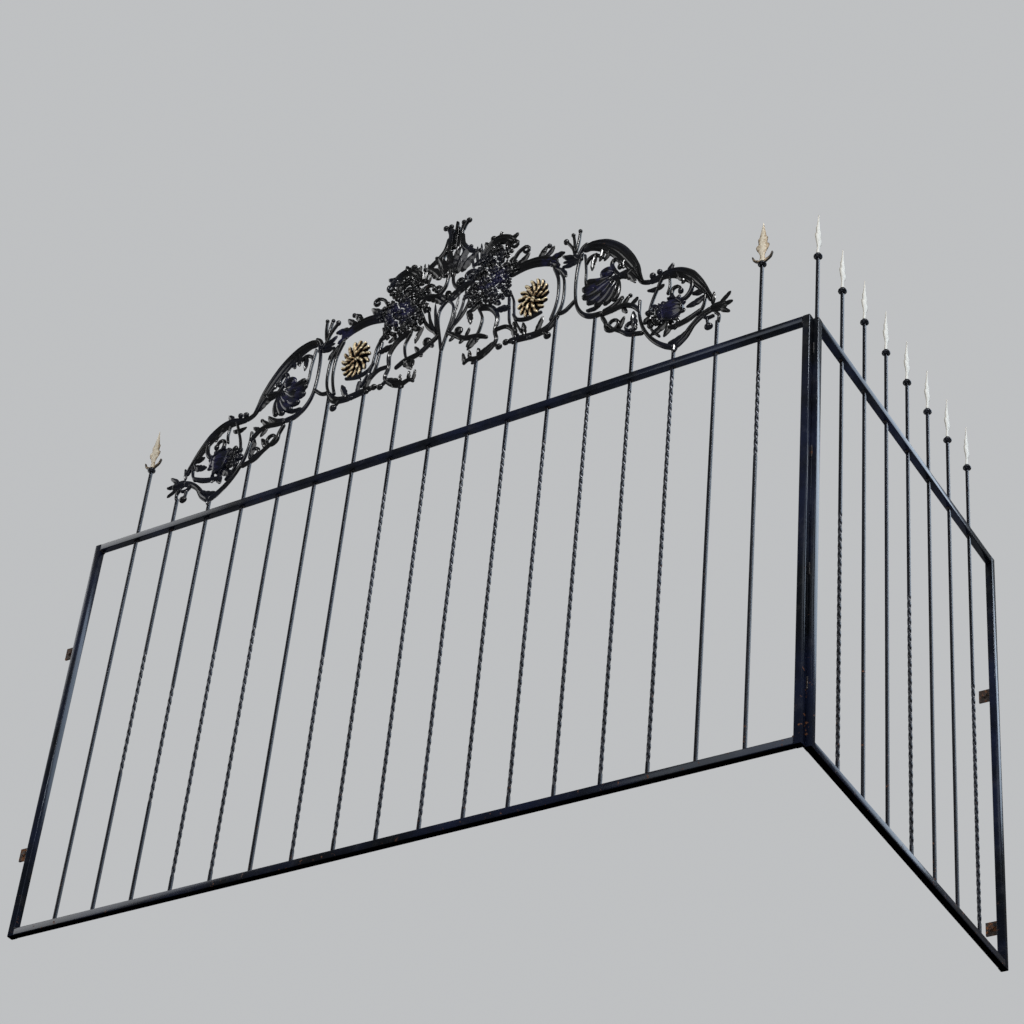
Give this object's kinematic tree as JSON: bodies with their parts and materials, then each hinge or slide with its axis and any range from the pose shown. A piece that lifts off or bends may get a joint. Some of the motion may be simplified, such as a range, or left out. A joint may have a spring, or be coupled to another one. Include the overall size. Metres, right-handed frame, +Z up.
{
  "type": "corner balcony grille",
  "caption": "L-shaped balcony grille of square tube and square bars, some twisted, with an arched crest of cast scrolls and leaves and spear heads.",
  "frame": {"origin": "centre of the part's own box on the floor, under the bottom rails", "axes": "+X along the front panel to the right as seen from outside, +Y into the building, +Z up"},
  "size_m": [2.2495, 1.096, 2.02],
  "materials": {
    "tube_black": "glossy black enamel with a blue cast over steel tube, rust at the welds",
    "bar_black": "black enamel over twisted and plain square bar",
    "cast_black": "black enamel over cast scrolls and leaves",
    "gilt": "worn gold paint over a dark casting",
    "spear_silver": "worn silver-gilt paint, dark at the collar",
    "rusty_steel": "flat plate, rusty under thin black paint"
  },
  "bodies": {
    "root": {"corner_rod": "bar_black", "crest_leaf_body": "cast_black", "crest_left_bouquet": "cast_black", "crest_left_end_bud": "cast_black", "crest_left_large_scroll": "cast_black", "crest_left_link": "cast_black", "crest_left_lower_scroll": "cast_black", "crest_left_ring": "cast_black", "crest_left_rose": "cast_black", "crest_left_rosette": "gilt", "crest_left_small_scroll": "cast_black", "crest_left_spray": "cast_black", "crest_pinnacle": "cast_black", "crest_right_bouquet": "cast_black", "crest_right_end_bud": "cast_black", "crest_right_large_scroll": "cast_black", "crest_right_link": "cast_black", "crest_right_lower_scroll": "cast_black", "crest_right_ring": "cast_black", "crest_right_rose": "cast_black", "crest_right_rosette": "gilt", "crest_right_small_scroll": "cast_black", "crest_right_spray": "cast_black", "crest_teardrop": "cast_black", "front_bars_left": "bar_black", "front_bars_middle": "bar_black", "front_bars_right": "bar_black", "front_bottom_rail": "tube_black", "front_left_finial": "spear_silver", "front_left_stile": "tube_black", "front_right_finial": "spear_silver", "front_right_stile": "tube_black", "front_top_rail": "tube_black", "left_lower_lug": "rusty_steel", "left_upper_lug": "rusty_steel", "side_bars": "bar_black", "side_bottom_rail": "tube_black", "side_far_stile": "tube_black", "side_finials": "spear_silver", "side_lower_lug": "rusty_steel", "side_near_stile": "tube_black", "side_top_rail": "tube_black", "side_upper_lug": "rusty_steel"}
  },
  "joints": []
}
